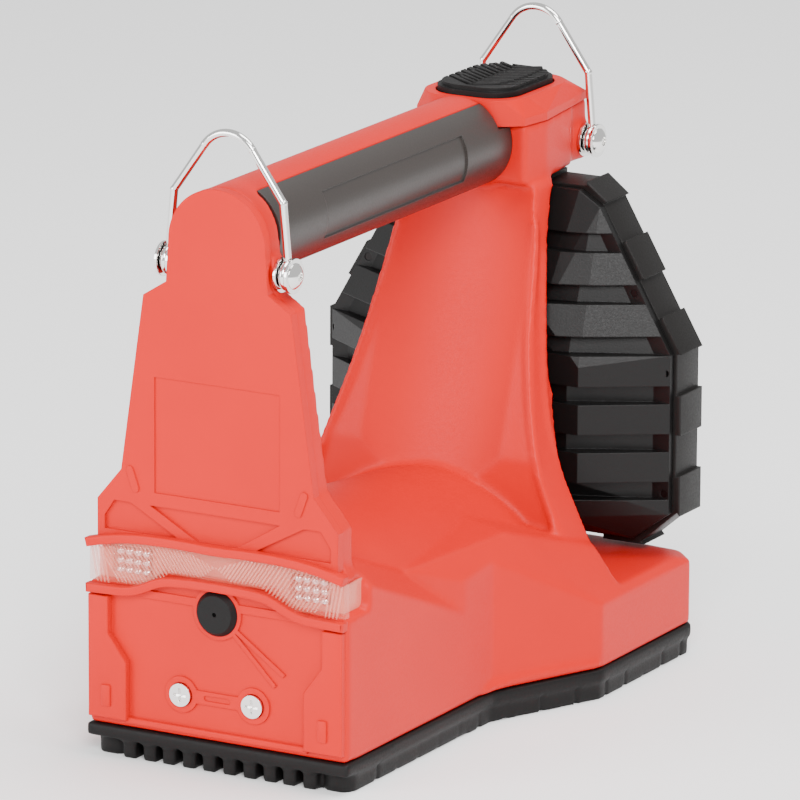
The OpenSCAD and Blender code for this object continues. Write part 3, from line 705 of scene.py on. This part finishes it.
@dataclass
class Housing:
    """The orange clamshell, with the soft fillets of a moulding."""

    voxel: float = 1.15
    passes: int = 9
    keep: float = 0.5
    halves: tuple[str, str] = ("housing_left", "housing_right")
    lip_radii: Point3 = (1.7, 1.2, 1.2)
    rear_lip: list[Point3] = field(
        default_factory=lambda: [
            (28.5, 186, 158), (30.0, 183.5, 147), (33.6, 172.2, 118), (36.6, 165.4, 104),
            (40.2, 159.8, 90), (45.4, 155.6, 72), (50.6, 154.8, 58), (55, 155, 46),
        ]
    )
    front_lip: list[Point3] = field(
        default_factory=lambda: [
            (29.4, 190, 146), (33.2, 182, 123), (37.4, 175, 101), (41.8, 171, 83),
            (47.4, 172, 66), (54.5, 174.5, 50), (59, 179, 38),
        ]
    )
    fender_lip: list[Point3] = field(
        default_factory=lambda: [(54.4, 100, 1.6), (56.5, 110, 2.6), (66, 130, 3.4), (75, 152, 2.2)]
    )

    def build(self) -> None:
        """Makes the moulded skin and dresses the other orange nodes."""
        parts = [frame["nodes"][name].data for name in self.halves]
        body = joined(parts)
        skin = BVHTree.FromPolygons(
            [v.co for v in body.vertices], [tuple(p.vertices) for p in body.polygons]
        )
        for path, radius in zip((self.rear_lip, self.front_lip, self.fender_lip), self.lip_radii):
            parts.append(bead(path, radius, skin))
            parts.append(bead([(-x, d, z) for x, d, z in path], radius, skin))
        soft = softened(parts, self.voxel, self.passes, self.keep)
        piece = finished("housing_skin", soft, ABS, Body.HOUSING, smooth_angle=180)
        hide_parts(*self.halves)
        dress(ABS, "rear_cover", "charge_panel", "switch_cap")
        dress(ZINC, "housing_screws")


@dataclass
class RearFace:
    """What stands proud of the charging panel: ledges, corner columns and small bars."""

    proud: float = 3.2
    column_proud: float = 2.4
    root: float = 1.5
    ledge_w: float = 3.4
    edge: float = 0.7
    bar_size: Point3 = (4.0, 1.6, 8.4)
    bar_edge: float = 0.75
    bar_x: float = 45.2
    bar_z: float = 11.8
    rail_half: float = 38.0
    rail_z: float = 3.0
    rail_w: float = 2.2
    rail_proud: float = 1.0
    rail_edge: float = 0.5
    column: list[Point2] = field(
        default_factory=lambda: [
            (44.6, 49), (44.6, 35), (37, 25), (37, 3), (53, 3), (53, 49),
        ]
    )
    lower: list[Point2] = field(
        default_factory=lambda: [
            (53.6, 51.4), (47, 51.6), (36, 52), (30, 54), (24, 57), (18, 58.4), (0, 58.9),
        ]
    )
    upper: list[Point2] = field(
        default_factory=lambda: [
            (53.6, 68.4), (44, 70.9), (31, 72.6), (14, 72.8), (0, 72.2),
        ]
    )

    def build(self) -> None:
        """Makes the ledges, columns, bars and foot rail."""
        for name, half in (("lower_ledge", self.lower), ("upper_ledge", self.upper)):
            whole = half + [(-x, z) for x, z in reversed(half[:-1])]
            band = ribbon(smooth_path(whole), self.ledge_w)
            finished(name, plate([band], -self.proud, self.root, self.edge), ABS, Body.HOUSING)
        loops = (self.column, mirrored(self.column))
        columns = [plate([loop], -self.column_proud, self.root, self.edge) for loop in loops]
        finished("corner_columns", joined(columns), ABS, Body.HOUSING)
        bar = block(*self.bar_size, self.bar_edge)
        bar_d = -self.column_proud - 0.2
        spots = [
            (PLACE.at(side * self.bar_x, bar_d, self.bar_z), (0, 0, 0), (1, 1, 1)) for side in (-1, 1)
        ]
        finished("column_bars", SpotTree("Bars").grow(bar, spots, ABS), ABS, Body.HOUSING)
        rail = ribbon([(-self.rail_half, self.rail_z), (self.rail_half, self.rail_z)], self.rail_w)
        rail_mesh = plate([rail], -self.rail_proud, self.root, self.rail_edge)
        finished("foot_rail", rail_mesh, ABS, Body.HOUSING)


@dataclass
class TailLight:
    """The clear fluted band across the rear, with a light cluster at each end."""

    proud: float = 0.6
    depth: float = 3.2
    edge: float = 0.5
    flute_size: Point3 = (0.8, 0.7, 1.0)
    flute_edge: float = 0.2
    flute_d: float = -0.8
    flute_end: float = 1.6
    flute_min: float = 0.5
    half_w: float = 52.0
    pitch: float = 1.5
    slant: float = 0.6
    centre_x: float = 9.0
    wrap_x: float = 46.0
    wrap_share: float = 0.3
    cluster_x: float = 37.0
    cluster_z: float = 61.6
    bowl_r: float = 7.2
    bowl_d: tuple[float, float] = (4.0, 5.0)
    bowl_edge: float = 0.3
    lamp_pitch: float = 3.6
    lamp_d: float = 4.2
    lamp_flat: float = 0.5
    columns: int = 4
    rows: int = 3
    low_end: float = 54.2
    low_middle: float = 60.5
    low_x: tuple[float, float] = (22.0, 33.0)
    low_fall: float = 0.57
    high_z: float = 71.1
    high_x: float = 31.0
    high_fall: float = 0.19
    dome: list[Point2] = field(
        default_factory=lambda: [(0, 0), (1.7, 0), (1.7, 1.2), (1.2, 2.2), (0.6, 2.7), (0, 2.8)]
    )
    low: list[Point2] = field(
        default_factory=lambda: [(53.2, 54.0), (33, 54.2), (28.5, 57), (22, 60.4)]
    )
    high: list[Point2] = field(
        default_factory=lambda: [(0, 71.2), (31, 71.0), (45, 69.2), (53.2, 66.8)]
    )

    def span(self, x: float) -> tuple[float, float]:
        """Returns the lens's lower and upper edge at that distance from the middle."""
        at = abs(x)
        inner, outer = self.low_x
        low = self.low_middle - max(0.0, at - inner) * self.low_fall
        if at > outer:
            low = self.low_end
        high = self.high_z - max(0.0, at - self.high_x) * self.high_fall
        return low, high

    def build(self) -> None:
        """Makes the lens, its flutes and the clusters behind it."""
        outline = self.low + mirrored(self.low) + mirrored(self.high[1:]) + self.high
        lens = plate([outline], -self.proud, self.depth, self.edge)
        piece = finished("tail_lens_band", lens, TAIL_CLEAR, Body.HOUSING)
        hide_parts("tail_lens")
        dress(SILICONE, "tail_gasket")
        dress(BOARD, "tail_leds")
        flute = block(*self.flute_size, self.flute_edge)
        spots = []
        count = int(2 * self.half_w / self.pitch)
        for i in range(count):
            x = -self.half_w + (i + 0.5) * self.pitch
            low, high = self.span(x)
            tall = (high - low - self.flute_end) / math.cos(self.slant)
            if abs(x) < self.centre_x:
                tall *= abs(x) / self.centre_x
            lean = math.copysign(self.slant, x) * (1.0 if abs(x) < self.wrap_x else self.wrap_share)
            place = PLACE.at(x, self.flute_d, (low + high) / 2)
            spots.append((place, (0, lean, 0), (1, 1, max(self.flute_min, tall))))
        flutes = SpotTree("Flutes").grow(flute, spots, FLUTE)
        finished("lens_flutes", flutes, FLUTE, Body.HOUSING)
        dome = turned(self.dome, 20)
        rims = [circle(side * self.cluster_x, self.cluster_z, self.bowl_r) for side in (-1, 1)]
        bowls = [plate([rim], *self.bowl_d, self.bowl_edge) for rim in rims]
        finished("cluster_bowls", joined(bowls), BLACK_STEEL, Body.HOUSING)
        turn = (-math.pi / 2, 0, 0)
        flat = (1, 1, self.lamp_flat)
        lights = []
        for side in (-1, 1):
            for col in range(self.columns):
                for row in range(self.rows):
                    x = side * self.cluster_x + (col - (self.columns - 1) / 2) * self.lamp_pitch
                    z = self.cluster_z + (row - (self.rows - 1) / 2) * self.lamp_pitch
                    lights.append((PLACE.at(x, self.lamp_d, z), turn, flat))
        clusters = SpotTree("Clusters").grow(dome, lights, MIRROR)
        finished("light_clusters", clusters, MIRROR, Body.HOUSING)


@dataclass
class Handle:
    """Rubber grips and the strap rings' hardware."""

    def build(self) -> None:
        """Dresses the grips, rings and their fixings."""
        dress(RUBBER_GRIP, "grip_left", "grip_right")
        dress(CHROME, "d_ring_rear", "d_ring_front", "ring_screws", "ring_washers", "charge_contacts")
        dress(BRASS, "ring_inserts", "contact_leaves", "pivot_bushes", "battery_terminals")


@dataclass
class Switch:
    """The push switch's rubber pad with its chevron ribs."""

    rows: int = 11
    pitch: float = 3.3
    slant: float = 34.0
    rib_l: float = 13.5
    rib_w: float = 1.7
    rib_h: float = 1.5
    rib_edge: float = 0.5
    rib_back: float = 1.5
    rib_sunk: float = 0.2
    smallest: float = 0.35

    def build(self) -> None:
        """Dresses the pad and makes its ribs."""
        dress(RUBBER, "switch_boot")
        dress(NYLON, "switch_plunger", "switch_body")
        low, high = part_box("switch_boot")
        middle = (low + high) / 2
        rib = block(self.rib_l, self.rib_w, self.rib_h, self.rib_edge)
        spots = []
        for row in range(self.rows):
            y = middle.y + (row - (self.rows - 1) / 2) * self.pitch * MM
            for side in (-1, 1):
                reach = abs(y - middle.y) / (high.y - middle.y)
                size = max(self.smallest, math.sqrt(max(0.0, 1 - reach**3)))
                half = self.rib_l * size / 2 * math.cos(math.radians(self.slant))
                z = high.z - self.rib_sunk * MM
                place = Vector((side * half * MM, y - self.rib_back * MM, z))
                turn = (0, 0, -side * math.radians(self.slant))
                spots.append((place, turn, (size, 1, 1)))
        ribs = SpotTree("Chevrons").grow(rib, spots, RUBBER)
        finished("switch_ribs", ribs, RUBBER, Body.SWITCH)


@dataclass
class LampHead:
    """The swivelling lamp: ribbed shell, stepped bezel and its optics."""

    step: float = 1.7
    block_l: float = 17.0
    edge: float = 0.6
    foot_w: float = 15.0
    foot_h: float = 13.0
    shoulder: float = 0.55
    brow_x: float = 44.0
    brow_drop: float = 7.0
    top_x: float = 35.0
    window: float = 0.8

    def outline(self) -> list[Point2]:
        """Returns the bezel's corners, seen from behind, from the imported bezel's box."""
        low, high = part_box("bezel_ring")
        half = high.x / MM
        z0 = (low.z - PLACE.base) / MM
        z1 = (high.z - PLACE.base) / MM
        middle = z0 + (z1 - z0) * self.shoulder
        right = [
            (half - self.foot_w, z0),
            (half, z0 + self.foot_h),
            (half, middle),
            (self.brow_x, z1 - self.brow_drop),
            (self.top_x, z1),
        ]
        return right + [(-x, z) for x, z in reversed(right)]

    def stepped(self, corners: Sequence[Point2]) -> list[Point2]:
        """Turns straight edges to rows of blocks, every second one set back.

        Args:
            corners: The outline's corners.

        Returns:
            The stepped outline.
        """
        points: list[Point2] = []
        raised = True
        total = len(corners)
        centre = Vector((0, sum(z for _, z in corners) / total))
        for i, corner in enumerate(corners):
            a, b = Vector(corner), Vector(corners[(i + 1) % total])
            along = (b - a).normalized()
            inward = Vector((-along.y, along.x))
            if inward.dot(centre - a) < 0:
                inward = -inward
            parts = max(1, round((b - a).length / self.block_l))
            for part in range(parts):
                shift = inward * (0.0 if raised else self.step)
                points.append(tuple(a.lerp(b, part / parts) + shift))
                points.append(tuple(a.lerp(b, (part + 1) / parts) + shift))
                raised = not raised
        return points

    def build(self) -> None:
        """Makes the stepped bezel and dresses the rest of the head."""
        low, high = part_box("bezel_ring")
        d0 = (PLACE.rear - high.y) / MM
        d1 = (PLACE.rear - low.y) / MM
        corners = self.outline()
        centre = Vector((0, sum(z for _, z in corners) / len(corners)))
        hole = [tuple(centre + (Vector(c) - centre) * self.window) for c in corners]
        ring = plate([self.stepped(corners), hole], d0, d1, self.edge)
        piece = finished("bezel_blocks", ring, NYLON_BEZEL, Body.HEAD)
        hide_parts("bezel_ring")
        dress(NYLON, "head_shell")
        dress(POLYCARBONATE, "front_lens")
        dress(RUBBER, "lens_gasket")
        dress(MIRROR, "reflector")
        dress(BOARD, "led_board")
        dress(PHOSPHOR, "led_emitters")
        dress(BLACK_STEEL, "bezel_screws")
        dress(ZINC, "pivot_pins", "swivel_washer")


@dataclass
class BaseBoot:
    """The rubber boot under the base, with rounded treads and teeth along its rear edge."""

    voxel: float = 0.95
    passes: int = 6

    def build(self) -> None:
        """Makes the boot's soft skin and dresses what it holds."""
        skin = softened([frame["nodes"]["base_boot"].data], self.voxel, self.passes)
        boot = finished("boot_skin", skin, RUBBER, Body.HOUSING, smooth_angle=180)
        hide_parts("base_boot")
        dress(RUBBER, "port_plug")
        dress(NYLON, "base_plate")
        dress(ZINC, "foot_screws")


@dataclass
class Inside:
    """The battery and electronics, closed in by the housing."""

    def build(self) -> None:
        """Dresses the inner nodes."""
        dress(FILM, "battery_pack")
        dress(BOARD, "main_board")


@dataclass
class Studio:
    """Plain pale floor, soft light and the camera."""

    azimuth: float = 209.2413
    elevation: float = 14.6899
    roll: float = 0.28646
    distance: float = 3.103388
    target: Point3 = (0.0, -0.012766, 0.109648)
    lens: float = 375.855
    sensor: float = 36.0

    def camera(self) -> None:
        """Places the camera."""
        turn = math.radians(self.azimuth - 180)
        rise = math.radians(self.elevation)
        tip = math.radians(self.roll)
        back = Vector(
            (-math.sin(turn) * math.cos(rise), math.cos(turn) * math.cos(rise), math.sin(rise))
        )
        right = Vector((-math.cos(turn), -math.sin(turn), 0))
        up = back.cross(right)
        right2 = math.cos(tip) * right + math.sin(tip) * up
        up2 = -math.sin(tip) * right + math.cos(tip) * up
        matrix = Matrix((right2, up2, back)).transposed().to_4x4()
        matrix.translation = Vector(self.target) + back * self.distance
        data = bpy.data.cameras.new("Camera")
        data.lens = self.lens
        data.sensor_width = self.sensor
        data.clip_end = 20.0
        thing = new_object("Camera", data)
        thing.matrix_world = matrix
        bpy.context.scene.camera = thing

    def lamp(self, name: str, place: Point3, power: float, size: float) -> None:
        """Adds a soft square lamp aimed at the lantern.

        Args:
            name: The lamp's name.
            place: Where it hangs, in metres.
            power: Its power in watts.
            size: Its side in metres.
        """
        data = bpy.data.lights.new(name, "AREA")
        data.energy = power
        data.size = size
        thing = new_object(name, data)
        thing.location = place
        aim = Vector(self.target) - Vector(place)
        thing.rotation_euler = aim.to_track_quat("-Z", "Y").to_euler()

    def build(self) -> None:
        """Makes the floor, the surround and the lamps."""
        mesh = bpy.data.meshes.new("floor")
        half = 6.0
        mesh.from_pydata(
            [(-half, -half, 0), (half, -half, 0), (half, half, 0), (-half, half, 0)], [], [(0, 1, 2, 3)]
        )
        made = bpy.data.materials.new("Painted_studio_floor")
        made.use_nodes = True
        shader = made.node_tree.nodes["Principled BSDF"]
        shader.inputs["Base Color"].default_value = linear("#FFFFFF")
        shader.inputs["Roughness"].default_value = 0.8
        mesh.materials.append(made)
        new_object("floor", mesh)
        world = bpy.data.worlds.new("Surround")
        world.use_nodes = True
        sky = world.node_tree.nodes["Background"]
        sky.inputs["Color"].default_value = linear("#FFFFFF")
        sky.inputs["Strength"].default_value = 0.85
        bpy.context.scene.world = world
        self.lamp("key", (-1.2, 1.9, 1.5), 75.0, 1.1)
        self.lamp("fill", (1.3, 2.1, 0.8), 40.0, 1.2)
        self.lamp("top", (-0.6, -0.2, 2.0), 45.0, 1.2)
        self.camera()


def main() -> None:
    """Builds the lantern's pieces in order."""
    logging.basicConfig(level=logging.INFO, format="%(name)s: %(message)s")
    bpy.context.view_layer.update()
    order: list[Callable[[], None]] = [
        Studio().build,
        Housing().build,
        RearFace().build,
        TailLight().build,
        Handle().build,
        Switch().build,
        LampHead().build,
        BaseBoot().build,
        Inside().build,
    ]
    for step in order:
        step()


if __name__ == "__main__":
    main()
